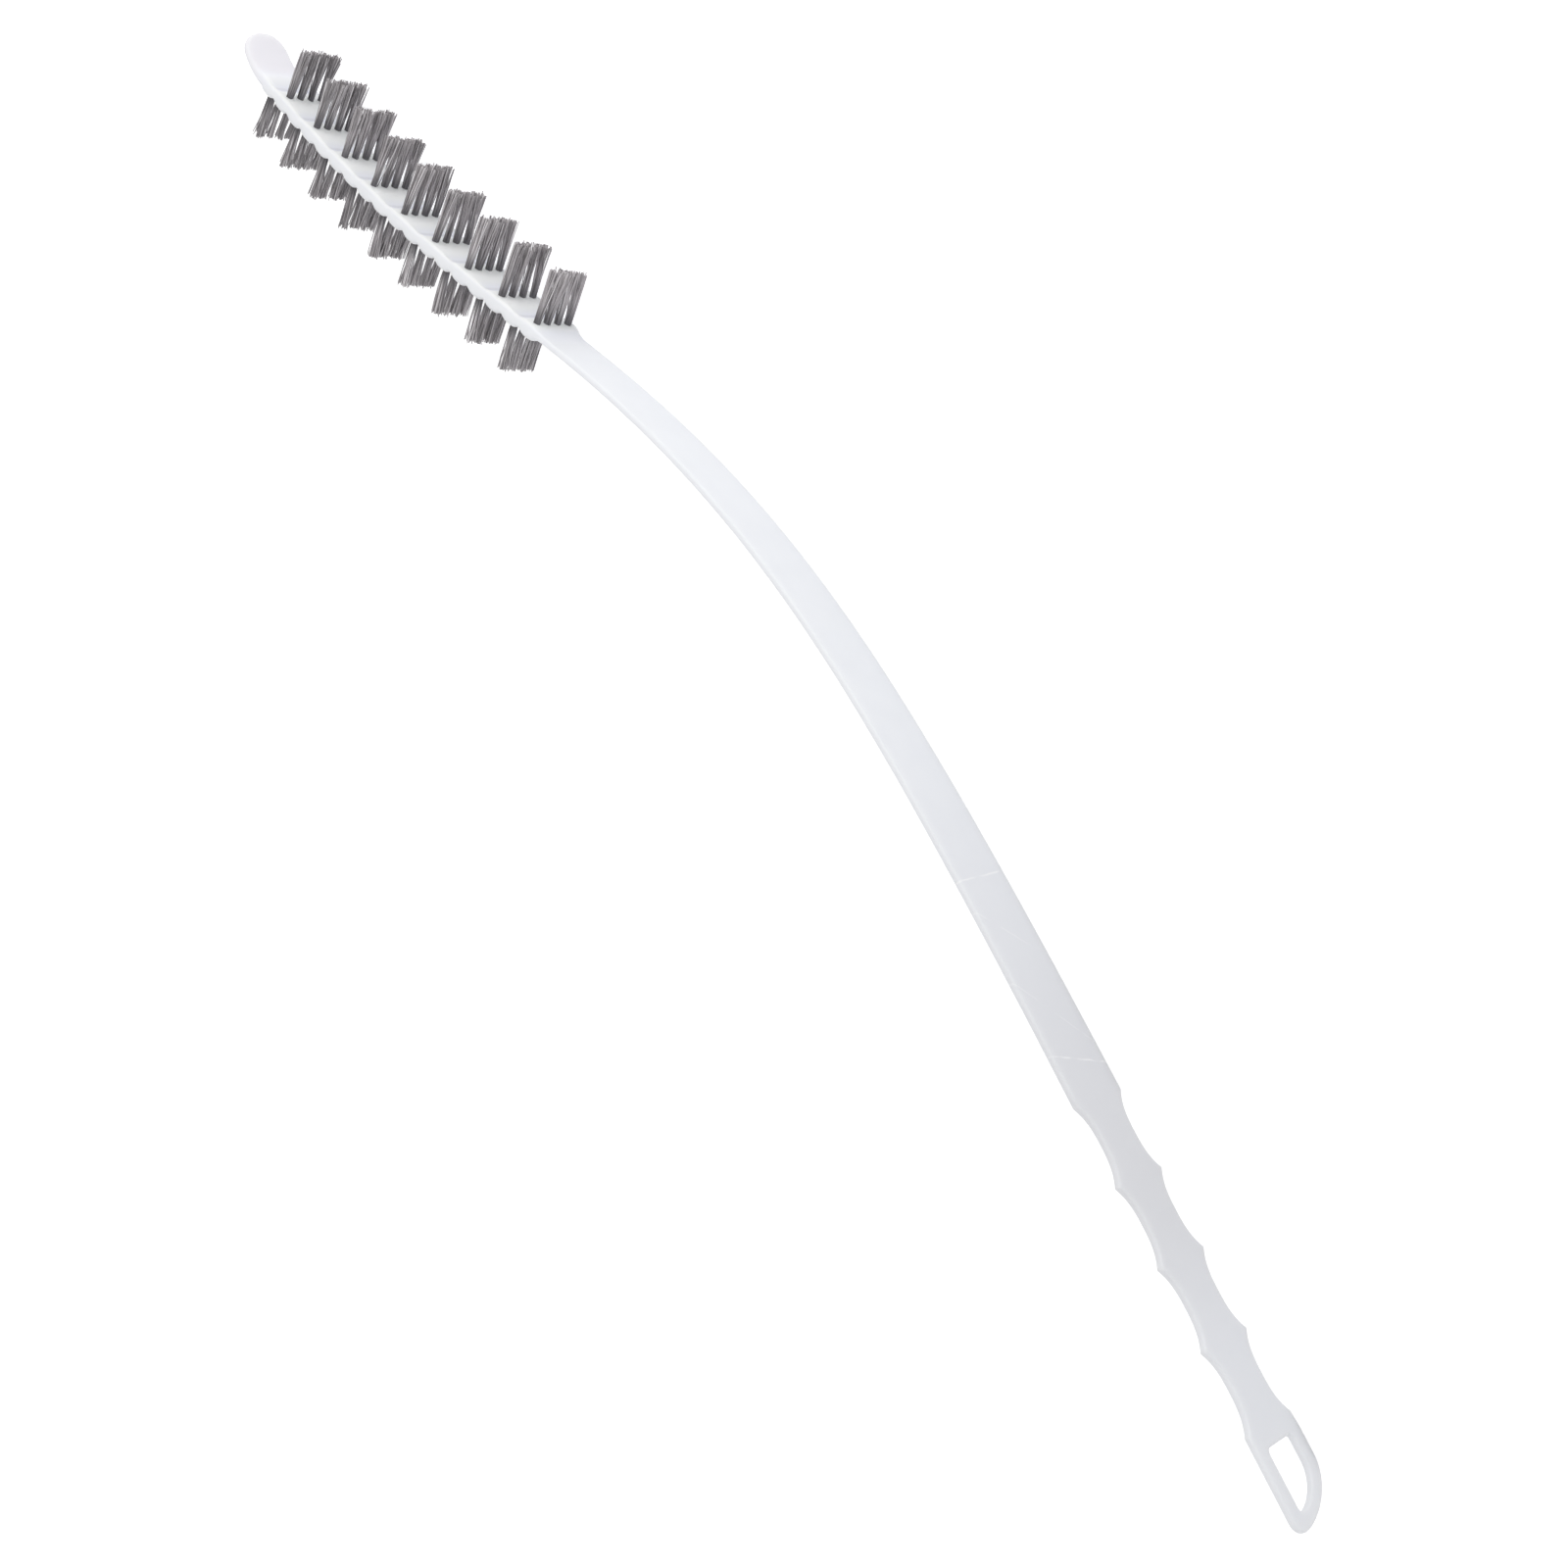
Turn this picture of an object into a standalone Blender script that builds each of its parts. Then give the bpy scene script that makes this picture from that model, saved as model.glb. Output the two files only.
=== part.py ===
"""Washing machine cleaning brush.

A long flexible blade is moulded in one piece of milky plastic: a curled tongue, a ribbed head,
a thin springy handle, a grip with finger scallops and a hanging loop. Rows of four bristle tufts
stand on the front and on the rear of the head, in turn along it. The brush lies on its side, with
X along it, Y out of its front face and Z across its width, and stands on the edge of its loop.
"""
import math

import bmesh
import bpy
from mathutils import Matrix, Vector

# Lengths are in millimetres and angles in degrees. A distance along the blade is measured on its
# middle surface from the tip of the tongue. Across runs from the upper edge (minus) to the lower
# edge (plus), and out is the height over the middle surface on the front.
MILLIMETRE = 0.001
SEAT_GAP = 0.3

# Tongue
TONGUE_HALF_WIDTH = 7.3
TONGUE_THICKNESS = 2.4
TONGUE_ROUND = 6.7

# Head: a rib under each row of tufts, with a thin web between two ribs
FIRST_ROW = 22.6
ROW_SPACING = 7.94
ROWS_PER_FACE = 9
HEAD_HALF_WIDTH = 8.1
RIB_THICKNESS = 4.4
RIB_FULLNESS = 2.5
WEB_THICKNESS = 1.5

# Tufts: a folded bundle in a blind hole, held at its foot
TUFTS_PER_ROW = 4
TUFT_SPACING = 3.6
HOLE_DIAMETER = 2.8
TUFT_DIAMETER = 2.25
FRONT_BRISTLE_LENGTH = 15.5
REAR_BRISTLE_LENGTH = 13.9
TUFT_SPREAD = 0.45
STRANDS_PER_TUFT = 6
STRAND_GAP = 0.09
COLLAR_HEIGHT = 0.5
CUT_UNEVENNESS = 0.9
UNEVENNESS_PER_STRAND = 2.4
UNEVENNESS_PER_MILLIMETRE = 1.7
TUFT_TURN = 13.0
FOOT_WIDTH = 1.2
FOOT_THICKNESS = 0.5
FOOT_DEPTH = 3.15

# Handle
NECK_LENGTH = 6.0
HANDLE_THICKNESS = 1.9
HANDLE_HALF_WIDTH_AT_HEAD = 7.1
HANDLE_HALF_WIDTH_AT_GRIP = 8.5

# Grip: five bumps with four finger scallops between them, the same on both edges
FIRST_BUMP = 408.8
BUMP_SPACING = 19.25
SCALLOPS = 4
SCALLOP_DEPTH = 2.6
SCALLOP_POWER = 2.8

# Loop: straight along the upper edge, bulging along the lower one
LOOP_LENGTH = 22.0
LOOP_UPPER_HALF_WIDTH = 8.5
LOOP_LOWER_HALF_WIDTH = 8.8
LOOP_CORNER_RADIUS = 3.0
LOOP_SWEEP_LENGTH = 12.0
LOOP_SWEEP_POWER = 0.62
LOOP_RIM = 3.8
LOOP_HOLE_START = 4.0
LOOP_HOLE_CORNER = 1.2

# Curve of the middle surface: each bend eases in over its length and turns toward the front
START_HEADING = -46.4
TONGUE_CURL_START = -5.9
TONGUE_CURL_LENGTH = 25.8
TONGUE_CURL = 45.1
HEAD_BEND_START = -66.0
HEAD_BEND_LENGTH = 236.5
HEAD_BEND = 15.0
HANDLE_BEND_START = 143.5
HANDLE_BEND_LENGTH = 201.5
HANDLE_BEND = -23.4
GRIP_BEND_START = 314.0
GRIP_BEND_LENGTH = 90.0
GRIP_BEND = -2.5
SPINE_STEP = 0.5

# Rounding of the moulding's edges, as a share of half its thickness
HEAD_ROUND_SHARE = 0.9
HANDLE_ROUND_SHARE = 0.65
LARGEST_ROUNDING_SHARE = 0.45
CORNER_STEPS = 2
SHARP_ANGLE = 40.0
NOSE_ROUND = 1.2

# Steps along the blade and round its holes
TONGUE_STEPS = 9
TONGUE_STEP_POWER = 1.15
STEPS_PER_RIB = 6
HANDLE_STEP = 9.5
SCALLOP_STEPS = 10
LOOP_STEPS = 14
LOOP_STEPS_SPARE = 0.6
LOOP_HOLE_CORNER_STEPS = 4
LOOP_HOLE_END_STEPS = 3
LOOP_HOLE_SWEEP_STEPS = 8
LOOP_HOLE_SWEEP_TURN = 80.0
HOLE_SIDES = 8

LAST_ROW = FIRST_ROW + (2 * ROWS_PER_FACE - 1) * ROW_SPACING
HEAD_END = LAST_ROW + ROW_SPACING / 2
LAST_BUMP = FIRST_BUMP + SCALLOPS * BUMP_SPACING
BLADE_END = LAST_BUMP + LOOP_LENGTH
RIB_HALF = RIB_THICKNESS / 2
WEB_HALF = WEB_THICKNESS / 2
TONGUE_HALF = TONGUE_THICKNESS / 2
HANDLE_HALF = HANDLE_THICKNESS / 2
FOOT_MIDDLE = RIB_HALF - FOOT_DEPTH + FOOT_THICKNESS / 2
BENDS = (
    (TONGUE_CURL_START, TONGUE_CURL_LENGTH, TONGUE_CURL),
    (HEAD_BEND_START, HEAD_BEND_LENGTH, HEAD_BEND),
    (HANDLE_BEND_START, HANDLE_BEND_LENGTH, HANDLE_BEND),
    (GRIP_BEND_START, GRIP_BEND_LENGTH, GRIP_BEND),
)


def ease(share):
    """Rise smoothly from 0 to 1."""
    share = min(max(share, 0.0), 1.0)
    return share * share * (3.0 - 2.0 * share)


def heading(along):
    """Direction of the middle surface in degrees, toward the front."""
    return START_HEADING + sum(turn * ease((along - start) / length) for start, length, turn in BENDS)


def trace_spine():
    """Walk along the bends from the tip of the tongue and note each place passed."""
    places = [(0.0, 0.0)]
    for step in range(math.ceil(BLADE_END / SPINE_STEP) + 1):
        angle = math.radians(heading((step + 0.5) * SPINE_STEP))
        x, y = places[-1]
        places.append((x + SPINE_STEP * math.cos(angle), y + SPINE_STEP * math.sin(angle)))
    return places


SPINE = trace_spine()


def place(along, across, out):
    """Point of the bent blade, in metres."""
    step = min(max(int(along / SPINE_STEP), 0), len(SPINE) - 2)
    share = along / SPINE_STEP - step
    x = SPINE[step][0] + share * (SPINE[step + 1][0] - SPINE[step][0])
    y = SPINE[step][1] + share * (SPINE[step + 1][1] - SPINE[step][1])
    angle = math.radians(heading(along))
    return MILLIMETRE * Vector((x - out * math.sin(angle), y + out * math.cos(angle), -across))


def place_matrix(along, side):
    """Seat of a tuft row: its own Z points out of the front (side 1) or of the rear (side -1)."""
    angle = math.radians(heading(along))
    outward = side * Vector((-math.sin(angle), math.cos(angle), 0.0))
    across = Vector((0.0, 0.0, -1.0))
    sideways = across.cross(outward)
    turn = Matrix((sideways, across, outward)).transposed().to_4x4()
    return Matrix.Translation(place(along, 0.0, 0.0)) @ turn


def rounded_end(distance, length):
    """Share of the full width at a distance from a rounded end."""
    reach = min(max(distance / length, 0.0), 1.0)
    return math.sqrt(1.0 - (1.0 - reach) ** 2)


def scallop(along):
    """How far the grip's edge is drawn in between two bumps."""
    place_in_scallop = (along - FIRST_BUMP) / BUMP_SPACING
    if not 0.0 < place_in_scallop < SCALLOPS:
        return 0.0
    from_middle = 2.0 * (place_in_scallop % 1.0) - 1.0
    return SCALLOP_DEPTH * (1.0 - abs(from_middle) ** SCALLOP_POWER)


def plain_half_width(along):
    """Half width of tongue, head, handle and grip, the same on both edges."""
    if along <= FIRST_ROW:
        width = TONGUE_HALF_WIDTH + (HEAD_HALF_WIDTH - TONGUE_HALF_WIDTH) * ease(along / FIRST_ROW)
        return width * rounded_end(along, TONGUE_ROUND)
    if along <= LAST_ROW:
        return HEAD_HALF_WIDTH
    slope = (HANDLE_HALF_WIDTH_AT_GRIP - HANDLE_HALF_WIDTH_AT_HEAD) / (FIRST_BUMP - LAST_ROW)
    handle = HANDLE_HALF_WIDTH_AT_HEAD + slope * (min(along, FIRST_BUMP) - LAST_ROW)
    neck = (HEAD_HALF_WIDTH - handle) * (1.0 - ease((along - LAST_ROW) / NECK_LENGTH))
    return handle + neck - scallop(along)


def upper_edge(along):
    """Distance from the middle line to the upper edge."""
    if along <= LAST_BUMP:
        return plain_half_width(along)
    corner = along - (BLADE_END - LOOP_CORNER_RADIUS)
    if corner <= 0.0:
        return LOOP_UPPER_HALF_WIDTH
    rise = LOOP_CORNER_RADIUS * (1.0 - math.sqrt(max(1.0 - (corner / LOOP_CORNER_RADIUS) ** 2, 0.0)))
    return LOOP_UPPER_HALF_WIDTH - rise


def swept_edge(along, end, length, low, high):
    """Sweep that brings the loop's lower edge round to its corner."""
    share = min(max((along - (end - length)) / length, 0.0), 1.0)
    return low + (high - low) * (1.0 - share * share) ** LOOP_SWEEP_POWER


def lower_edge(along):
    """Distance from the middle line to the lower edge."""
    if along <= LAST_BUMP:
        return plain_half_width(along)
    corner_middle = LOOP_CORNER_RADIUS - LOOP_UPPER_HALF_WIDTH
    full = HANDLE_HALF_WIDTH_AT_GRIP
    full += (LOOP_LOWER_HALF_WIDTH - HANDLE_HALF_WIDTH_AT_GRIP) * ease((along - LAST_BUMP) / LOOP_HOLE_START)
    return swept_edge(along, BLADE_END, LOOP_SWEEP_LENGTH, corner_middle, full)


def half_thickness(along):
    """Half thickness: ribs and webs on the head, plain before and after it."""
    wave = 0.0
    if FIRST_ROW - ROW_SPACING / 2 < along < HEAD_END:
        phase = 2.0 * math.pi * (along - FIRST_ROW) / ROW_SPACING
        rib = 1.0 - (0.5 - 0.5 * math.cos(phase)) ** RIB_FULLNESS
        wave = WEB_HALF + (RIB_HALF - WEB_HALF) * rib
    if along < FIRST_ROW:
        return max(TONGUE_HALF, wave) * rounded_end(along, NOSE_ROUND)
    if along > LAST_ROW:
        return max(HANDLE_HALF, wave) * rounded_end(BLADE_END - along, NOSE_ROUND)
    return wave


def round_share(along):
    """How much of the half thickness the edges' rounding takes."""
    past_head = ease((along - LAST_ROW) / NECK_LENGTH)
    return HEAD_ROUND_SHARE + (HANDLE_ROUND_SHARE - HEAD_ROUND_SHARE) * past_head


def section(along):
    """Rounded bar section of the blade, as (across, out) points."""
    half = half_thickness(along)
    upper = upper_edge(along)
    lower = lower_edge(along)
    rounding = min(round_share(along) * half, LARGEST_ROUNDING_SHARE * (upper + lower))
    points = []
    corners = ((lower, half, 0), (-upper, half, 1), (-upper, -half, 2), (lower, -half, 3))
    for across, out, quarter in corners:
        centre_across = across - math.copysign(rounding, across - (lower - upper) / 2)
        centre_out = out - math.copysign(rounding, out)
        for step in range(CORNER_STEPS + 1):
            angle = math.radians(90.0 * (quarter + step / CORNER_STEPS))
            points.append((centre_across + rounding * math.cos(angle), centre_out + rounding * math.sin(angle)))
    return points


def stations():
    """Places along the blade at which its section is drawn, closer where the shape changes."""
    tongue_end = FIRST_ROW - ROW_SPACING / 2
    found = []
    for step in range(1, TONGUE_STEPS + 1):
        found.append(tongue_end * (1.0 - math.cos(0.5 * math.pi * step / TONGUE_STEPS)) ** TONGUE_STEP_POWER)
    rib_steps = 2 * ROWS_PER_FACE * STEPS_PER_RIB
    for step in range(1, rib_steps + 1):
        found.append(tongue_end + ROW_SPACING * step / STEPS_PER_RIB)
    handle_steps = math.ceil((FIRST_BUMP - HEAD_END) / HANDLE_STEP)
    for step in range(1, handle_steps + 1):
        found.append(HEAD_END + (FIRST_BUMP - HEAD_END) * step / handle_steps)
    for step in range(1, SCALLOPS * SCALLOP_STEPS + 1):
        found.append(FIRST_BUMP + BUMP_SPACING * step / SCALLOP_STEPS)
    for step in range(1, LOOP_STEPS + 1):
        found.append(LAST_BUMP + LOOP_LENGTH * math.sin(0.5 * math.pi * step / (LOOP_STEPS + LOOP_STEPS_SPARE)))
    return found


def plastic(name, colour, roughness):
    """Principled material of one plain colour."""
    material = bpy.data.materials.new(name)
    material.use_nodes = True
    shader = material.node_tree.nodes["Principled BSDF"]
    shader.inputs["Base Color"].default_value = (*colour, 1.0)
    shader.inputs["Roughness"].default_value = roughness
    shader.inputs["Metallic"].default_value = 0.0
    material.diffuse_color = (*colour, 1.0)
    return material


def add_object(name, mesh, material=None):
    """Put a mesh into the scene under a name."""
    thing = bpy.data.objects.new(name, mesh)
    bpy.context.scene.collection.objects.link(thing)
    if material:
        mesh.materials.clear()
        mesh.materials.append(material)
    return thing


def finish_mesh(build, name):
    """Turn a bmesh into a mesh with its faces pointing out."""
    bmesh.ops.recalc_face_normals(build, faces=build.faces)
    mesh = bpy.data.meshes.new(name)
    build.to_mesh(mesh)
    build.free()
    return mesh


def hide_cutter(cutter):
    """Show a cutter as wire only."""
    cutter.hide_render = True
    cutter.display_type = "WIRE"


def add_boolean(thing, cutter, operation):
    """Cut or join with another object."""
    step = thing.modifiers.new(operation.lower(), "BOOLEAN")
    step.operation = operation
    step.object = cutter
    step.solver = "EXACT"


def blade_mesh():
    """Loft the blade's sections along its curve."""
    build = bmesh.new()
    rings = []
    for along in stations():
        rings.append([build.verts.new(place(along, across, out)) for across, out in section(along)])
    for ring, following in zip(rings, rings[1:]):
        for index, corner in enumerate(ring):
            beside = (index + 1) % len(ring)
            build.faces.new((corner, ring[beside], following[beside], following[index]))
    build.faces.new(rings[0])
    build.faces.new(rings[-1])
    return finish_mesh(build, "blade")


def turn_steps(turn, steps):
    """Angles from 0 to a turn in degrees, given in radians."""
    return [math.radians(turn * step / steps) for step in range(steps + 1)]


def loop_hole_outline():
    """Hanging hole: the loop's outline drawn in by its rim, with a straight side toward the grip."""
    start = LAST_BUMP + LOOP_HOLE_START
    end = BLADE_END - LOOP_RIM
    upper = LOOP_UPPER_HALF_WIDTH - LOOP_RIM
    lower = LOOP_LOWER_HALF_WIDTH - LOOP_RIM
    sweep = LOOP_SWEEP_LENGTH - LOOP_RIM
    bevel = LOOP_HOLE_CORNER
    points = []
    for angle in turn_steps(90.0, LOOP_HOLE_CORNER_STEPS):
        points.append((start + bevel * (1.0 - math.cos(angle)), lower - bevel * (1.0 - math.sin(angle))))
    for angle in turn_steps(LOOP_HOLE_SWEEP_TURN, LOOP_HOLE_SWEEP_STEPS):
        along = end - sweep + sweep * math.sin(angle)
        points.append((along, swept_edge(along, end, sweep, bevel - upper, lower)))
    for angle in turn_steps(90.0, LOOP_HOLE_END_STEPS):
        points.append((end - bevel * (1.0 - math.cos(angle)), bevel - upper - bevel * math.sin(angle)))
    for angle in turn_steps(90.0, LOOP_HOLE_CORNER_STEPS):
        points.append((start + bevel * (1.0 - math.sin(angle)), -upper + bevel * (1.0 - math.cos(angle))))
    return points


def loop_hole_cutter():
    """Prism through the loop, square to the blade there."""
    build = bmesh.new()
    outline = loop_hole_outline()
    depth = 2.0 * HANDLE_THICKNESS
    front = [build.verts.new(place(along, across, depth)) for along, across in outline]
    rear = [build.verts.new(place(along, across, -depth)) for along, across in outline]
    build.faces.new(front)
    build.faces.new(rear)
    for index in range(len(outline)):
        beside = (index + 1) % len(outline)
        build.faces.new((front[index], front[beside], rear[beside], rear[index]))
    cutter = add_object("loop_hole_cutter", finish_mesh(build, "loop_hole_cutter"))
    hide_cutter(cutter)
    return cutter


def rows():
    """Every row of tufts as (name, place along the blade, side)."""
    for index in range(ROWS_PER_FACE):
        rear = FIRST_ROW + 2 * index * ROW_SPACING
        yield f"rear_tuft_row_{index + 1}", rear, -1
        yield f"front_tuft_row_{index + 1}", rear + ROW_SPACING, 1


def tuft_places():
    """Places of a row's tufts across the blade."""
    return [(index - (TUFTS_PER_ROW - 1) / 2) * TUFT_SPACING for index in range(TUFTS_PER_ROW)]


def strip_mesh(name, margin):
    """Strip that ties the feet of a row's tufts, with a margin all round it."""
    size = (FOOT_WIDTH, (TUFTS_PER_ROW - 1) * TUFT_SPACING + FOOT_WIDTH, FOOT_THICKNESS)
    shape = Matrix.Diagonal((*(MILLIMETRE * (length + 2 * margin) for length in size), 1.0))
    shift = Matrix.Translation((0.0, 0.0, MILLIMETRE * FOOT_MIDDLE))
    build = bmesh.new()
    bmesh.ops.create_cube(build, size=1.0, matrix=shift @ shape)
    return finish_mesh(build, name)


def add_round(build, across, top, diameter, sides, turn=0.0):
    """Upright cylinder from the middle of a row's foot to a height over the middle surface."""
    shift = Matrix.Translation(MILLIMETRE * Vector((0.0, across, (FOOT_MIDDLE + top) / 2)))
    made = bmesh.ops.create_cone(
        build, cap_ends=True, cap_tris=True, segments=sides, radius1=MILLIMETRE * diameter / 2,
        radius2=MILLIMETRE * diameter / 2, depth=MILLIMETRE * (top - FOOT_MIDDLE),
        matrix=shift @ Matrix.Rotation(turn, 4, "Z"))
    return {face for corner in made["verts"] for face in corner.link_faces}


def joined_mesh(name, first, second):
    """One closed mesh from two that overlap."""
    base = add_object(name, first)
    other = add_object(name + "_joined", second)
    add_boolean(base, other, "UNION")
    shape = base.evaluated_get(bpy.context.evaluated_depsgraph_get())
    mesh = bpy.data.meshes.new_from_object(shape)
    mesh.name = name
    bpy.data.objects.remove(base)
    bpy.data.objects.remove(other)
    return mesh


def tuft_seat_mesh():
    """Seat of one row: four blind holes that open into a hollow for the feet."""
    holes = bmesh.new()
    for across in tuft_places():
        add_round(holes, across, RIB_HALF + SEAT_GAP, HOLE_DIAMETER, HOLE_SIDES, math.pi / HOLE_SIDES)
    hollow = strip_mesh("foot_hollow", SEAT_GAP)
    return joined_mesh("tuft_seat", hollow, finish_mesh(holes, "tuft_holes"))


def tuft_seat_cutter():
    """Seats of all the rows, in their ribs."""
    seat = tuft_seat_mesh()
    build = bmesh.new()
    for _, along, side in rows():
        copy = bmesh.new()
        copy.from_mesh(seat)
        copy.transform(place_matrix(along, side))
        moved = bpy.data.meshes.new("tuft_seat_copy")
        copy.to_mesh(moved)
        copy.free()
        build.from_mesh(moved)
        bpy.data.meshes.remove(moved)
    cutter = add_object("tuft_seat_cutter", finish_mesh(build, "tuft_seat_cutter"))
    hide_cutter(cutter)
    return cutter


def add_tuft(build, across, length, turn):
    """One tuft: a round bundle that parts into separate strands above the blade."""
    faces = add_round(build, across, RIB_HALF + COLLAR_HEIGHT, TUFT_DIAMETER, STRANDS_PER_TUFT, turn)
    tops = [face for face in faces if face.calc_center_median().z > MILLIMETRE * (RIB_HALF + COLLAR_HEIGHT / 2)]
    middle = MILLIMETRE * Vector((0.0, across, 0.0))
    tops.sort(key=lambda face: math.atan2(*(face.calc_center_median() - middle).yx))
    bmesh.ops.inset_individual(build, faces=tops, thickness=MILLIMETRE * STRAND_GAP, use_even_offset=True)
    strands = bmesh.ops.extrude_discrete_faces(build, faces=tops)["faces"]
    for index, strand in enumerate(strands):
        uneven = CUT_UNEVENNESS * abs(math.sin(UNEVENNESS_PER_STRAND * index + UNEVENNESS_PER_MILLIMETRE * across))
        lean = TUFT_SPREAD * (strand.calc_center_median() - middle)
        lean.z = MILLIMETRE * (length - COLLAR_HEIGHT - uneven)
        for corner in strand.verts:
            corner.co += lean


def tuft_row_mesh(name, length):
    """Four tufts fused to the strip at their feet."""
    tufts = bmesh.new()
    for index, across in enumerate(tuft_places()):
        add_tuft(tufts, across, length, math.radians(TUFT_TURN * index))
    return joined_mesh(name, strip_mesh("foot_strip", 0.0), finish_mesh(tufts, "tufts"))


def add_tuft_rows(material):
    """Place every row on its rib."""
    meshes = {
        1: tuft_row_mesh("front_tuft_row", FRONT_BRISTLE_LENGTH),
        -1: tuft_row_mesh("rear_tuft_row", REAR_BRISTLE_LENGTH),
    }
    made = []
    for name, along, side in rows():
        row = add_object(name, meshes[side], material)
        row.matrix_world = place_matrix(along, side)
        made.append(row)
    return made


def add_blade(material):
    """Mould the blade and cut its holes."""
    mesh = blade_mesh()
    mesh.shade_smooth()
    mesh.set_sharp_from_angle(angle=math.radians(SHARP_ANGLE))
    blade = add_object("blade", mesh, material)
    add_boolean(blade, loop_hole_cutter(), "DIFFERENCE")
    add_boolean(blade, tuft_seat_cutter(), "DIFFERENCE")
    return blade


def stand_on_origin(pieces):
    """Hold all pieces by an empty that puts the middle of their foot on the origin."""
    bpy.context.view_layer.update()
    graph = bpy.context.evaluated_depsgraph_get()
    low = Vector((math.inf,) * 3)
    high = Vector((-math.inf,) * 3)
    for piece in pieces:
        shape = piece.evaluated_get(graph)
        for corner in shape.data.vertices:
            point = shape.matrix_world @ corner.co
            low = Vector(map(min, low, point))
            high = Vector(map(max, high, point))
    holder = bpy.data.objects.new("brush", None)
    bpy.context.scene.collection.objects.link(holder)
    for thing in list(bpy.context.scene.objects):
        if thing != holder:
            thing.parent = holder
    holder.location = (-(low.x + high.x) / 2, -(low.y + high.y) / 2, -low.z)


def main():
    """Clear the scene and build the brush."""
    for thing in list(bpy.data.objects):
        bpy.data.objects.remove(thing)
    milky = plastic("milky_plastic", (0.83, 0.84, 0.87), 0.38)
    nylon = plastic("grey_nylon", (0.12, 0.105, 0.1), 0.5)
    blade = add_blade(milky)
    tuft_rows = add_tuft_rows(nylon)
    stand_on_origin([blade] + tuft_rows)


main()
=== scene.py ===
"""Washing machine cleaning brush: fine meshes and finish of blade and bristles, with light and camera."""
import math
import random

import bmesh
import bpy
from mathutils import Matrix, Quaternion, Vector


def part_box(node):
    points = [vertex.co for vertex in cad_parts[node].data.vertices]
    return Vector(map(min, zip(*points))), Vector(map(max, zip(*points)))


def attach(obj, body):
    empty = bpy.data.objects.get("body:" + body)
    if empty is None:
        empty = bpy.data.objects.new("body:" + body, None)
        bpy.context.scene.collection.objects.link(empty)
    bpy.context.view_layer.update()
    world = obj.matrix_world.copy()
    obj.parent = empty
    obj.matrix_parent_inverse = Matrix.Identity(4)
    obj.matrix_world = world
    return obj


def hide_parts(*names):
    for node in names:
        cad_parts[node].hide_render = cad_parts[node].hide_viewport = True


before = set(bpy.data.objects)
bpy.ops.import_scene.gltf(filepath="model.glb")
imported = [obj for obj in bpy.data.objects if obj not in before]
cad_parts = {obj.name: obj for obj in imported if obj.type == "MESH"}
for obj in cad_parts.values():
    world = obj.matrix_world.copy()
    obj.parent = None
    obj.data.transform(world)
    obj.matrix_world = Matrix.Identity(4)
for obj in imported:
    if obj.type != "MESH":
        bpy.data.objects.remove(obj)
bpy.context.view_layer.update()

# The blade is one strip of milky plastic, shot into a mould in one go: a curled tongue, a head that is
# ribbed behind and has shallow pockets in front, a thin handle, a grip with finger scallops and a loop.
# Sizes are in millimetres: along the blade from the tongue's tip, across it, and out of its front.
MM = 0.001
TONGUE_HALF_WIDTH = 7.3
TONGUE_HALF = 1.2
TONGUE_ROUND = 6.7
NOSE_ROUND = 1.3
FIRST_ROW = 22.6
ROW_SPACING = 7.94
ROWS_PER_FACE = 9
LAST_ROW = FIRST_ROW + (2 * ROWS_PER_FACE - 1) * ROW_SPACING
HEAD_START = FIRST_ROW - ROW_SPACING / 2
HEAD_END = LAST_ROW + ROW_SPACING / 2
HEAD_HALF_WIDTH = 8.1
RIB_HALF = 2.2
RIB_FULLNESS = 2.5
WEB_HALF = 0.75
NECK_LENGTH = 6.0
HANDLE_HALF = 0.95
HANDLE_HALF_WIDTH_AT_HEAD = 7.1
HANDLE_HALF_WIDTH_AT_GRIP = 8.5
GRIP_START = 404.0
FIRST_BUMP = 408.8
BUMP_SPACING = 19.25
SCALLOPS = 4
SCALLOP_DEPTH = 2.6
SCALLOP_POWER = 2.8
LAST_BUMP = FIRST_BUMP + SCALLOPS * BUMP_SPACING
LOOP_LENGTH = 21.92
BLADE_END = LAST_BUMP + LOOP_LENGTH
LOOP_UPPER_HALF_WIDTH = 8.5
LOOP_LOWER_HALF_WIDTH = 8.8
LOOP_CORNER = 3.0
LOOP_SWEEP_LENGTH = 12.0
LOOP_SWEEP_POWER = 0.62
LOOP_RIM = 3.8
HOLE_SETBACK = 4.0
HOLE_START = LAST_BUMP + HOLE_SETBACK
HOLE_CORNER = 1.2
FRONT_RISE_START = 10.0
FRONT_RISE_LENGTH = 12.0
POCKET_DEPTH = 1.1
POCKET_DEPTH_AT_EDGE = 0.35
POCKET_START = 4.0
POCKET_BOTTOM = 10.6
POCKET_WALL = 2.6
POCKET_HALF_LENGTH = 7.4
POCKET_END_ROUND = 1.6

# Rounding of the edges, as shares of the half thickness, with two limits as shares of the half width
REAR_HEAD_ROUND_SHARE = 0.65
FRONT_HEAD_ROUND_SHARE = 0.4
TONGUE_ROUND_SHARE = 0.95
PLAIN_ROUND_SHARE = 0.65
WIDEST_ROUND_SHARE = 0.9
NARROWEST_FACE_SHARE = 0.05

# Heading before all bends in degrees, and each bend: place where it starts, length and turn in degrees
START_HEADING = -46.4
BENDS = (
    (-5.9, 25.8, 45.1),
    (-66.0, 236.5, 15.0),
    (143.5, 201.5, -23.4),
    (314.0, 90.0, -2.5),
)
SPINE_STEP = 0.5

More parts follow.
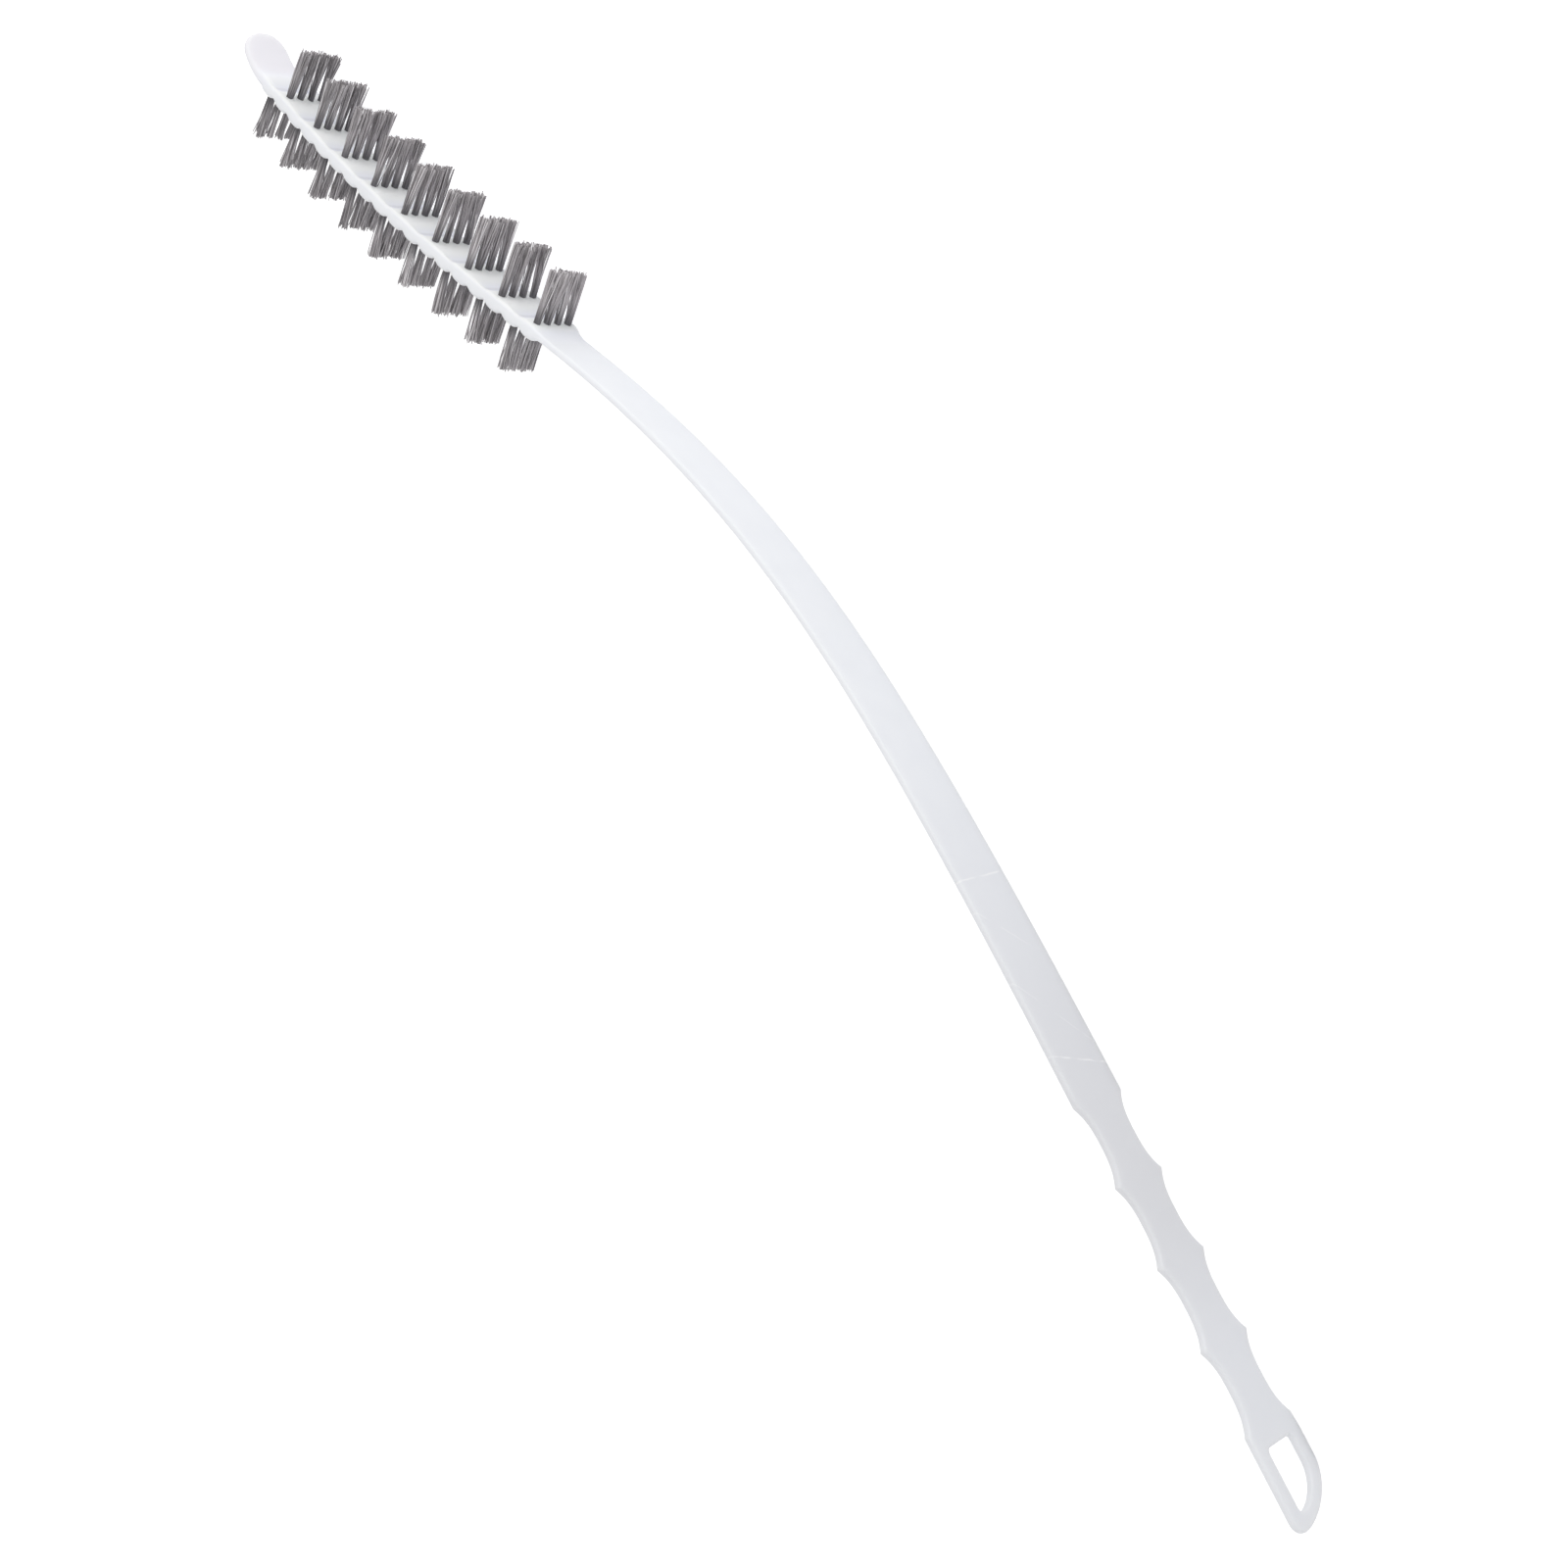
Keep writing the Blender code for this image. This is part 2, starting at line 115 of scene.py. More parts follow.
# Fineness of the mesh, and limits that keep it sound
TIP_START = 0.25
TONGUE_STEPS = 36
TONGUE_STEP_POWER = 1.2
STEPS_PER_ROW = 20
HANDLE_STEPS = 110
STEPS_PER_SCALLOP = 28
SWELL_STEPS = 7
LOOP_SWEEP_STEPS = 48
LOOP_CORNER_STEPS = 14
HOLE_SWEEP_STEPS = 32
HOLE_CORNER_STEPS = 8
EDGE_STEPS = 6
FACE_MARGIN = 0.3
FACE_SHARES = (1.0, 0.94, 0.88, 0.82, 0.5, 0.0, -0.5, -0.82, -0.88, -0.94, -1.0)
SHARPEST_TURN_COSINE = -0.5
WELD_DISTANCE = 0.001


def ease(share):
    """Rise smoothly from 0 to 1."""
    share = min(max(share, 0.0), 1.0)
    return share * share * (3.0 - 2.0 * share)


def heading(along):
    """Direction of the blade's middle surface, in degrees toward its front."""
    return START_HEADING + sum(turn * ease((along - start) / length) for start, length, turn in BENDS)


spine = [(0.0, 0.0)]
while len(spine) * SPINE_STEP < BLADE_END + 2 * SPINE_STEP:
    angle = math.radians(heading((len(spine) - 0.5) * SPINE_STEP))
    spine.append((spine[-1][0] + SPINE_STEP * math.cos(angle), spine[-1][1] + SPINE_STEP * math.sin(angle)))


def bent(along, across, out):
    """Point of the bent blade, in metres, from the tongue's tip."""
    step = min(max(int(along / SPINE_STEP), 0), len(spine) - 2)
    share = along / SPINE_STEP - step
    x = spine[step][0] + share * (spine[step + 1][0] - spine[step][0])
    y = spine[step][1] + share * (spine[step + 1][1] - spine[step][1])
    angle = math.radians(heading(along))
    return MM * Vector((x - out * math.sin(angle), y + out * math.cos(angle), -across))


def rounded_end(distance, length):
    """Share of the full size at a distance from a rounded end."""
    reach = min(max(distance / length, 0.0), 1.0)
    return math.sqrt(1.0 - (1.0 - reach) ** 2)


def half_width(along):
    """Half width of tongue, head, handle and grip."""
    if along <= FIRST_ROW:
        width = TONGUE_HALF_WIDTH + (HEAD_HALF_WIDTH - TONGUE_HALF_WIDTH) * ease(along / FIRST_ROW)
        return width * rounded_end(along, TONGUE_ROUND)
    if along <= LAST_ROW:
        return HEAD_HALF_WIDTH
    slope = (HANDLE_HALF_WIDTH_AT_GRIP - HANDLE_HALF_WIDTH_AT_HEAD) / (FIRST_BUMP - LAST_ROW)
    handle = HANDLE_HALF_WIDTH_AT_HEAD + slope * (min(along, FIRST_BUMP) - LAST_ROW)
    neck = (HEAD_HALF_WIDTH - handle) * (1.0 - ease((along - LAST_ROW) / NECK_LENGTH))
    scallop = (along - FIRST_BUMP) / BUMP_SPACING
    hollow = 0.0
    if 0.0 < scallop < SCALLOPS:
        hollow = SCALLOP_DEPTH * (1.0 - abs(2.0 * (scallop % 1.0) - 1.0) ** SCALLOP_POWER)
    return handle + neck - hollow


def rear_half(along):
    """Half thickness behind: a rib at each row of the head, plain before and after it."""
    wave = 0.0
    if HEAD_START < along < HEAD_END:
        phase = 2.0 * math.pi * (along - FIRST_ROW) / ROW_SPACING
        wave = WEB_HALF + (RIB_HALF - WEB_HALF) * (1.0 - (0.5 - 0.5 * math.cos(phase)) ** RIB_FULLNESS)
    if along < FIRST_ROW:
        return max(TONGUE_HALF, wave) * rounded_end(along, NOSE_ROUND)
    if along > LAST_ROW:
        return max(HANDLE_HALF, wave)
    return wave


def front_half(along):
    """Half thickness in front: the head is as high all over as at its rows."""
    plain = HANDLE_HALF if along > FIRST_ROW else TONGUE_HALF * rounded_end(along, NOSE_ROUND)
    rise = ease((along - FRONT_RISE_START) / FRONT_RISE_LENGTH)
    rise *= 1.0 - ease((along - LAST_ROW) / NECK_LENGTH)
    return plain + (RIB_HALF - plain) * rise


def pocket(along, across):
    """Depth of the shallow pocket that leads up to each front row."""
    if not FIRST_ROW - ROW_SPACING < along < LAST_ROW:
        return 0.0
    past_row = (along - FIRST_ROW - ROW_SPACING) % (2.0 * ROW_SPACING)
    fall = ease((past_row - POCKET_START) / (POCKET_BOTTOM - POCKET_START))
    wall = 1.0 - ease((past_row - POCKET_BOTTOM) / POCKET_WALL)
    inside = ease((POCKET_HALF_LENGTH - abs(across)) / POCKET_END_ROUND)
    return fall * wall * (POCKET_DEPTH_AT_EDGE + (POCKET_DEPTH - POCKET_DEPTH_AT_EDGE) * inside)


def round_share(along, head_share):
    """How much of the half thickness the edges' rounding takes."""
    on_head = ease((along - FRONT_RISE_START) / FRONT_RISE_LENGTH)
    share = TONGUE_ROUND_SHARE + (head_share - TONGUE_ROUND_SHARE) * on_head
    return share + (PLAIN_ROUND_SHARE - share) * ease((along - LAST_ROW) / NECK_LENGTH)


def edge_levels(half, radius):
    """Steps round an edge, from the side wall to the face, as (inset, height) pairs."""
    for step in range(EDGE_STEPS + 1):
        angle = 0.5 * math.pi * step / EDGE_STEPS
        yield radius * (1.0 - math.cos(angle)), half - radius + radius * math.sin(angle)


def half_section(along, half, head_share):
    """Front or rear half of a section, as (across, height) points from the lower edge to the upper."""
    width = half_width(along)
    radius = min(round_share(along, head_share) * half, WIDEST_ROUND_SHARE * width)
    inner = max(width - radius - FACE_MARGIN, NARROWEST_FACE_SHARE * width)
    edge = [(width - inset, height) for inset, height in edge_levels(half, radius)]
    face = [(share * inner, half) for share in FACE_SHARES]
    return edge + face + [(-across, height) for across, height in reversed(edge)]


def section(along):
    """Rounded bar section of the blade, as (across, out) points all the way round."""
    front = half_section(along, front_half(along), FRONT_HEAD_ROUND_SHARE)
    rear = half_section(along, rear_half(along), REAR_HEAD_ROUND_SHARE)
    points = [(across, height - pocket(along, across)) for across, height in front]
    return points + [(across, -height) for across, height in reversed(rear)]


def add_point(build, layer, along, across, out):
    """Corner of the blade that remembers its place on the flat blade."""
    corner = build.verts.new(bent(along, across, out))
    corner[layer] = (along, across, out)
    return corner


def strip_stations():
    """Places of the sections between the tongue's tip and the grip."""
    for step in range(TONGUE_STEPS):
        share = 1.0 - math.cos(0.5 * math.pi * step / TONGUE_STEPS)
        yield TIP_START + (HEAD_START - TIP_START) * share**TONGUE_STEP_POWER
    for step in range(2 * ROWS_PER_FACE * STEPS_PER_ROW):
        yield HEAD_START + ROW_SPACING * step / STEPS_PER_ROW
    for step in range(HANDLE_STEPS + 1):
        yield HEAD_END + (GRIP_START - HEAD_END) * step / HANDLE_STEPS


def lower_sweep(end, length, low, high, steps):
    """Curve that brings the loop's lower edge, or its hole's, round to the corner."""
    points = []
    for step in range(steps):
        angle = 0.5 * math.pi * step / steps
        across = low + (high - low) * math.cos(angle) ** (2.0 * LOOP_SWEEP_POWER)
        points.append((end - length + length * math.sin(angle), across))
    return points


def arc(centre_along, centre_across, radius, start, turn, steps):
    """Round corner as (along, across) points, with angles in degrees from the along direction."""
    angles = [math.radians(start + turn * step / steps) for step in range(steps + 1)]
    return [(centre_along + radius * math.cos(a), centre_across + radius * math.sin(a)) for a in angles]


def grip_outline():
    """Edge of grip and loop, from the lower edge round the loop's end to the upper one."""
    lower = [(GRIP_START, half_width(GRIP_START))]
    for step in range(SCALLOPS * STEPS_PER_SCALLOP + 1):
        along = FIRST_BUMP + BUMP_SPACING * step / STEPS_PER_SCALLOP
        lower.append((along, half_width(along)))
    upper = [(along, -across) for along, across in reversed(lower)]
    swell = LOOP_LOWER_HALF_WIDTH - HANDLE_HALF_WIDTH_AT_GRIP
    for step in range(1, SWELL_STEPS + 1):
        across = HANDLE_HALF_WIDTH_AT_GRIP + swell * ease(step / SWELL_STEPS)
        lower.append((LAST_BUMP + HOLE_SETBACK * step / SWELL_STEPS, across))
    corner = LOOP_CORNER - LOOP_UPPER_HALF_WIDTH
    lower += lower_sweep(BLADE_END, LOOP_SWEEP_LENGTH, corner, LOOP_LOWER_HALF_WIDTH, LOOP_SWEEP_STEPS)
    end = arc(BLADE_END - LOOP_CORNER, corner, LOOP_CORNER, 0.0, -90.0, LOOP_CORNER_STEPS)
    return lower + end + upper


def hole_outline():
    """Edge of the loop's hole, run the other way round than the outer edge."""
    end = BLADE_END - LOOP_RIM
    upper = LOOP_RIM - LOOP_UPPER_HALF_WIDTH
    lower = LOOP_LOWER_HALF_WIDTH - LOOP_RIM
    start = HOLE_START + HOLE_CORNER
    low = upper + HOLE_CORNER
    points = arc(start, lower - HOLE_CORNER, HOLE_CORNER, 180.0, -90.0, HOLE_CORNER_STEPS)
    points += lower_sweep(end, LOOP_SWEEP_LENGTH - LOOP_RIM, low, lower, HOLE_SWEEP_STEPS)
    points += arc(end - HOLE_CORNER, low, HOLE_CORNER, 0.0, -90.0, HOLE_CORNER_STEPS)
    points += arc(start, low, HOLE_CORNER, -90.0, -90.0, HOLE_CORNER_STEPS)[:-1]
    return points[::-1]


def drawn_in(outline, inset, closed):
    """Outline moved toward the plastic, on its right-hand side. Open ends move straight across."""
    moved = []
    count = len(outline)
    for index, (along, across) in enumerate(outline):
        before = outline[index - 1] if index or closed else None
        after = outline[(index + 1) % count] if index < count - 1 or closed else None
        normals = []
        for first, second in ((before, (along, across)), ((along, across), after)):
            if first and second:
                step = Vector((second[0] - first[0], second[1] - first[1])).normalized()
                normals.append(Vector((step.y, -step.x)))
        if len(normals) == 1:
            normals = [Vector((0.0, -1.0 if index == 0 else 1.0))] * 2
        cosine = max(normals[0].dot(normals[1]), SHARPEST_TURN_COSINE)
        shift = (normals[0] + normals[1]) / (1.0 + cosine)
        moved.append((along + inset * shift.x, across + inset * shift.y))
    return moved


def add_strip(build, layer):
    """Skin of tongue, head and handle, open toward the grip."""
    rings = []
    for along in strip_stations():
        rings.append([add_point(build, layer, along, across, out) for across, out in section(along)])
    for ring, following in zip(rings, rings[1:]):
        for index, corner in enumerate(ring):
            beside = (index + 1) % len(ring)
            build.faces.new((corner, ring[beside], following[beside], following[index]))
    build.faces.new(rings[0])


def add_edge_skin(build, layer, outline, closed):
    """Rounded edge of the flat grip and loop. Returns its innermost row of corners on each side."""
    radius = PLAIN_ROUND_SHARE * HANDLE_HALF
    front = list(edge_levels(HANDLE_HALF, radius)) + [(radius + FACE_MARGIN, HANDLE_HALF)]
    levels = [(inset, -height) for inset, height in reversed(front)] + front
    skins = []
    for inset, height in levels:
        edge = drawn_in(outline, inset, closed)
        skins.append([add_point(build, layer, along, across, height) for along, across in edge])
    last = len(outline) if closed else len(outline) - 1
    for skin, following in zip(skins, skins[1:]):
        for index in range(last):
            beside = (index + 1) % len(outline)
            build.faces.new((skin[index], skin[beside], following[beside], following[index]))
    return skins[0], skins[-1]


def neighbours(corners):
    """Pairs of corners that follow each other round a closed row."""
    return zip(corners, corners[1:] + corners[:1])


def add_grip(build, layer):
    """Flat grip and loop: rounded edges, with plain faces between them."""
    outer_sides = add_edge_skin(build, layer, grip_outline(), closed=False)
    hole_sides = add_edge_skin(build, layer, hole_outline(), closed=True)
    for outer, hole, side in zip(outer_sides, hole_sides, (-1, 1)):
        reach = outer[0][layer].y
        cut = [add_point(build, layer, GRIP_START, share * reach, side * HANDLE_HALF)
               for share in reversed(FACE_SHARES[1:-1])]
        edges = [build.edges.get(pair) or build.edges.new(pair) for pair in neighbours(outer + cut)]
        edges += [build.edges.get(pair) for pair in neighbours(hole)]
        bmesh.ops.triangle_fill(build, use_beauty=True, edges=edges)


def blade_mesh():
    """Fine mesh of the whole blade, with its seams closed."""
    build = bmesh.new()
    layer = build.verts.layers.float_vector.new("flat_place")
    add_strip(build, layer)
    add_grip(build, layer)
    bmesh.ops.remove_doubles(build, verts=build.verts, dist=WELD_DISTANCE * MM)
    bmesh.ops.recalc_face_normals(build, faces=build.faces)
    mesh = bpy.data.meshes.new("moulded_blade")
    build.to_mesh(mesh)
    build.free()
    mesh.shade_smooth()
    return mesh


class Socket:
    """An output of a material's nodes. Arithmetic on it adds Math nodes to that material."""

    def __init__(self, output):
        self.output = output
        self.tree = output.id_data

    def node(self, kind, settings, inputs, output=0):
        """Add any other node: its settings first, then the values or links of its sockets."""
        made = self.tree.nodes.new(kind)
        for name, value in settings.items():
            setattr(made, name, value)
        for name, value in inputs.items():
            if isinstance(value, Socket):
                self.tree.links.new(value.output, made.inputs[name])
            else:
                made.inputs[name].default_value = value
        return Socket(made.outputs[output])

    def beside(self, name):
        """Another output of this value's node."""
        return Socket(self.output.node.outputs[name])

    def stored(self, name, output="Fac"):
        """Value that the corners of the mesh remember under a name."""
        return self.node("ShaderNodeAttribute", {"attribute_name": name}, {}, output)

    def noise(self, scale, detail):
        """Smooth random value at this place, mostly near a half."""
        return self.node("ShaderNodeTexNoise", {}, {"Vector": self, "Scale": scale, "Detail": detail})

    def math(self, operation, *others):
        """Math node of an operation on this value and others."""
        return self.node("ShaderNodeMath", {"operation": operation}, dict(enumerate((self, *others))))

    def __add__(self, other):
        return self.math("ADD", other)

    def __sub__(self, other):
        return self.math("SUBTRACT", other)

    def __rsub__(self, other):
        return self.math("MULTIPLY_ADD", -1.0, other)

    def __mul__(self, other):
        return self.math("MULTIPLY", other)

    __radd__ = __add__
    __rmul__ = __mul__

    def rise(self, start, end):
        """0 before the start and 1 after the end, smooth between them."""
        inputs = {"Value": self, "From Min": start, "From Max": end}
        return self.node("ShaderNodeMapRange", {"interpolation_type": "SMOOTHSTEP"}, inputs)

    def line(self, half_thickness):
        """1 where this value is zero, falling to 0 on both sides."""
        return 1.0 - self.math("ABSOLUTE").rise(0.0, half_thickness)

    def blend(self, first, second):
        """Colour that goes from the first to the second as this value goes from 0 to 1."""
        # A Mix node has sockets for each type of data: inputs 6 and 7 and output 2 are its colours
        inputs = {0: self, 6: first, 7: second}
        return self.node("ShaderNodeMix", {"data_type": "RGBA", "clamp_factor": True}, inputs, 2)

    def feed(self, node, name):
        """Link this value to a node's socket."""
        self.tree.links.new(self.output, node.inputs[name])


def new_finish(name):
    """Material with a Principled shader. Returns the material, the shader and a socket to build on."""
    material = bpy.data.materials.new(name)
    material.use_nodes = True
    shader = material.node_tree.nodes["Principled BSDF"]
    return material, shader, Socket(shader.outputs[0])


def add_object(name, data):
    """New object in the scene."""
    made = bpy.data.objects.new(name, data)
    bpy.context.scene.collection.objects.link(made)
    return made


MILKY = (0.765, 0.785, 0.84, 1.0)
MILKY_CLOUD = (0.735, 0.755, 0.81, 1.0)
MILKY_TONGUE = (0.79, 0.775, 0.83, 1.0)
# Painted light: the head, and its front face still more, is whiter to offset the tufts' shade
HEAD_TINT_AND_PAINTED_LIGHT = (0.84, 0.862, 0.99, 1.0)
HEAD_TINT_AND_PAINTED_LIGHT_FACE = (0.892, 0.916, 1.0, 1.0)
# Painted shade with a lavender tint: the grip is darker, as light falls off along the blade
GRIP_TINT_AND_PAINTED_SHADE = (0.645, 0.65, 0.68, 1.0)
POCKET_SHADE = (0.44, 0.42, 0.38, 1.0)
STRESS_WHITE = (0.90, 0.90, 0.92, 1.0)
SCATTER_LENGTH = 6.0
CLOUD_STRENGTH = 0.5
CLOUD_EDGES = (0.35, 0.7)
POCKET_SHADE_STRENGTH = 0.28
POCKET_SHADE_HALF_LENGTH = 1.1
POCKET_SHADE_SHIFT = 0.8
GRIP_TONE_LOSS = 0.55
PLASTIC_ROUGHNESS = 0.5
GRAIN_ROUGHNESS = 0.12

# Places along the blade between which a tone comes in or goes out
TONGUE_TONE_OUT = (10.0, 40.0)
HEAD_TONE_IN = (12.0, 26.0)
HEAD_TONE_OUT = (LAST_ROW, LAST_ROW + 12.0)
GRIP_TONE_IN = (290.0, 428.0)
GRIP_TONE_EASES = (432.0, 480.0)

# Heights above the middle surface between which a tone comes in, and places across where one goes out
FACE_TONE_IN = (1.3, 2.1)
POCKET_SHADE_IN = (0.2, 0.8)
POCKET_SHADE_OUT = (6.0, 7.2)

# Faint marks left across the handle: place along at the middle line, lean, and strength
HANDLE_MARKS = ((352.1, 0.0, 0.5), (399.2, 0.33, 0.5), (367.8, 0.93, 0.25), (387.8, 1.15, 0.25))
MARK_DRIFT = 0.4
MARK_HALF_THICKNESS = 0.4
MARK_PATCH_EDGES = (0.35, 0.6)


def milky_plastic():
    """Translucent moulded plastic with a soft sheen, faint clouds and a few light marks."""
    material, shader, start = new_finish("milky_plastic_finish")
    shader.inputs["Subsurface Weight"].default_value = 1.0
    shader.inputs["Subsurface Radius"].default_value = (1.0, 1.0, 1.0)
    shader.inputs["Subsurface Scale"].default_value = SCATTER_LENGTH * MM
    shader.inputs["IOR"].default_value = 1.49
    place = start.stored("flat_place", "Vector")
    along = place.node("ShaderNodeSeparateXYZ", {}, {0: place})
    across = along.beside(1)
    out = along.beside(2)
    clouds = place.noise(scale=0.09, detail=3.0).rise(*CLOUD_EDGES)
    colour = (CLOUD_STRENGTH * clouds).blend(MILKY, MILKY_CLOUD)
    # Painted shade: darker toward the grip as the light falls off, easing part way back over the last
    # scallops
    toward_grip = along.rise(*GRIP_TONE_IN) * (1.0 - GRIP_TONE_LOSS * along.rise(*GRIP_TONE_EASES))
    colour = toward_grip.blend(colour, GRIP_TINT_AND_PAINTED_SHADE)
    colour = along.rise(*TONGUE_TONE_OUT).blend(MILKY_TONGUE, colour)
    # Painted light: the head, and still more its front face, is made whiter to offset the tufts' shade
    in_head = along.rise(*HEAD_TONE_IN) * (1.0 - along.rise(*HEAD_TONE_OUT))
    colour = in_head.blend(colour, HEAD_TINT_AND_PAINTED_LIGHT)
    face = in_head * out.math("ABSOLUTE").rise(*FACE_TONE_IN)
    colour = face.blend(colour, HEAD_TINT_AND_PAINTED_LIGHT_FACE)
    # Painted shade lies just before the bottom of each pocket: from_bottom is the distance to the nearest
    # one
    past_bottom = along - FIRST_ROW - ROW_SPACING - POCKET_BOTTOM + POCKET_SHADE_SHIFT
    turns = past_bottom * (0.5 / ROW_SPACING) + 0.5
    from_bottom = (turns.math("FRACT") - 0.5) * (2.0 * ROW_SPACING)
    shaded = from_bottom.line(POCKET_SHADE_HALF_LENGTH) * in_head * out.rise(*POCKET_SHADE_IN)
    shaded = shaded * (1.0 - across.math("ABSOLUTE").rise(*POCKET_SHADE_OUT))
    colour = (POCKET_SHADE_STRENGTH * shaded).blend(colour, POCKET_SHADE)
    drift = place.noise(scale=0.5, detail=2.0) - 0.5
    patches = place.noise(scale=0.2, detail=2.0).rise(*MARK_PATCH_EDGES)
    for middle, lean, strength in HANDLE_MARKS:
        distance = along - across * lean - middle + drift * MARK_DRIFT
        colour = (strength * patches * distance.line(MARK_HALF_THICKNESS)).blend(colour, STRESS_WHITE)
    colour.feed(shader, "Base Color")
    grain = place.noise(scale=1.4, detail=4.0)
    (PLASTIC_ROUGHNESS + GRAIN_ROUGHNESS * grain).feed(shader, "Roughness")
    bump = grain.node("ShaderNodeBump", {}, {"Strength": 0.06, "Distance": 0.1 * MM, "Height": grain})
    bump.feed(shader, "Normal")
    return material


def box_middle(points):
    """Middle of the box round some points."""
    low = Vector(min(point[axis] for point in points) for axis in range(3))
    high = Vector(max(point[axis] for point in points) for axis in range(3))
    return (low + high) / 2


moulding = blade_mesh()
low_corner, high_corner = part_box("blade")
blade_shift = (low_corner + high_corner) / 2 - box_middle([corner.co for corner in moulding.vertices])
moulding.transform(Matrix.Translation(blade_shift))
moulding.materials.append(milky_plastic())
blade = add_object("moulded_blade", moulding)
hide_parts("blade")
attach(blade, "root")

# The tufts are bundles of stiff grey nylon filament, folded over a small staple and driven into a
# blind hole, then trimmed. They splay a little, so their ragged tips nearly close the gaps.
TUFTS_PER_ROW = 4
TUFT_SPACING = 3.6
TUFT_ROOT_RADIUS = 0.91
ROOT_DEPTH = 1.2
FRONT_LENGTH = 15.5
REAR_LENGTH = 13.9
GATHER_AT_TONGUE = 0.03
GATHER_AT_NECK = 0.2
# Painted light and shade: strands are darker in rows near the tongue, paler toward the neck where more
# light falls
PAINTED_DARKNESS_AT_TONGUE = 1.25
PAINTED_DARKNESS_AT_NECK = 0.6
FILAMENTS_PER_TUFT = 50
FILAMENT_RADIUS = 0.14
FILAMENT_SIDES = 5
FILAMENT_STEPS = 4
FLARE_POWER = 1.2
GOLDEN_ANGLE = math.radians(137.508)
SHARP_EDGE = math.radians(80.0)

# How the tips spread: a whole tuft leans, its locks are pushed apart, and each filament goes its own way
TUFT_LEAN = 0.12
SMALLEST_TIP_RADIUS = 1.25
LARGEST_TIP_RADIUS = 1.5
LOCKS_PER_TUFT = 7
LOCK_PUSH = 0.22
LOCK_PULL = 0.25
FRONT_SPLAY = 0.55
REAR_SPLAY = 0.4
ROOT_SHARE = 0.8
SPOT_SHARE = 0.8
WIDEST_TIP_SHARE = 1.25
OWN_PUSH = 0.3
STRAY_CHANCE = 0.06
STRAY_PUSH = 4.0
BOW = 0.16

# How far a filament is cut short of the full length
BASE_CUT = 0.5
CUT_SLOPE = 0.16
LOCK_CUT = 0.25
OWN_CUT = 0.45
SHORTEST_CUT = 0.5
LONGEST_CUT = 2.4


def row_seat(along, side):
    """Frame of a tuft row: Z points out of the front (side 1) or out of the rear (side -1)."""
    angle = math.radians(heading(along))
    outward = side * Vector((-math.sin(angle), math.cos(angle), 0.0))
    across = Vector((0.0, 0.0, -1.0))
    turn = Matrix((across.cross(outward), across, outward)).transposed().to_4x4()
    return Matrix.Translation(bent(along, 0.0, 0.0) + blade_shift) @ turn


def spiral(index, count, radius):
    """Evenly spread place in a disc."""
    distance = radius * math.sqrt((index + 0.5) / count)
    return Vector((distance * math.cos(index * GOLDEN_ANGLE), distance * math.sin(index * GOLDEN_ANGLE)))


def push_by(draw, spread):
    """Random push to the side."""
    return Vector((draw.gauss(0.0, spread), draw.gauss(0.0, spread)))


def tuft_filaments(draw, across, length, splay, gather, darkness):
    """Filaments of one tuft as (root, tip, bow, shade) with places in the row's frame."""
    tuft_lean = Vector((draw.gauss(0.0, TUFT_LEAN), draw.gauss(0.0, TUFT_LEAN) - gather * across))
    tip_radius = draw.uniform(SMALLEST_TIP_RADIUS, LARGEST_TIP_RADIUS)
    locks = []
    for index in range(LOCKS_PER_TUFT):
        push = push_by(draw, LOCK_PUSH)
        locks.append((spiral(index, LOCKS_PER_TUFT, TUFT_ROOT_RADIUS), push, draw.gauss(0.0, LOCK_CUT)))
    slope = push_by(draw, CUT_SLOPE)
    for index in range(FILAMENTS_PER_TUFT):
        root = spiral(index, FILAMENTS_PER_TUFT, TUFT_ROOT_RADIUS)
        lock, push, lock_cut = min(locks, key=lambda entry: (entry[0] - root).length)
        stray = STRAY_PUSH if draw.random() < STRAY_CHANCE else 1.0
        own = push_by(draw, OWN_PUSH * splay) * stray
        spot = push_by(draw, splay)
        flared = (ROOT_SHARE * root / TUFT_ROOT_RADIUS + SPOT_SHARE * spot) * tip_radius
        tip = flared + (lock - root) * LOCK_PULL + push + own
        reach = tip.length
        if reach > WIDEST_TIP_SHARE * tip_radius and stray == 1.0:
            tip *= WIDEST_TIP_SHARE * tip_radius / reach
        tip += tuft_lean
        cut = BASE_CUT + slope.dot(root) + lock_cut + abs(draw.gauss(0.0, OWN_CUT))
        height = length - min(max(cut, SHORTEST_CUT), LONGEST_CUT)
        bow = push_by(draw, BOW)
        yield (
            Vector((root.x, across + root.y, RIB_HALF - ROOT_DEPTH)),
            Vector((tip.x, across + tip.y, RIB_HALF + height)),
            Vector((bow.x, bow.y, 0.0)),
            draw.random() ** darkness,
        )


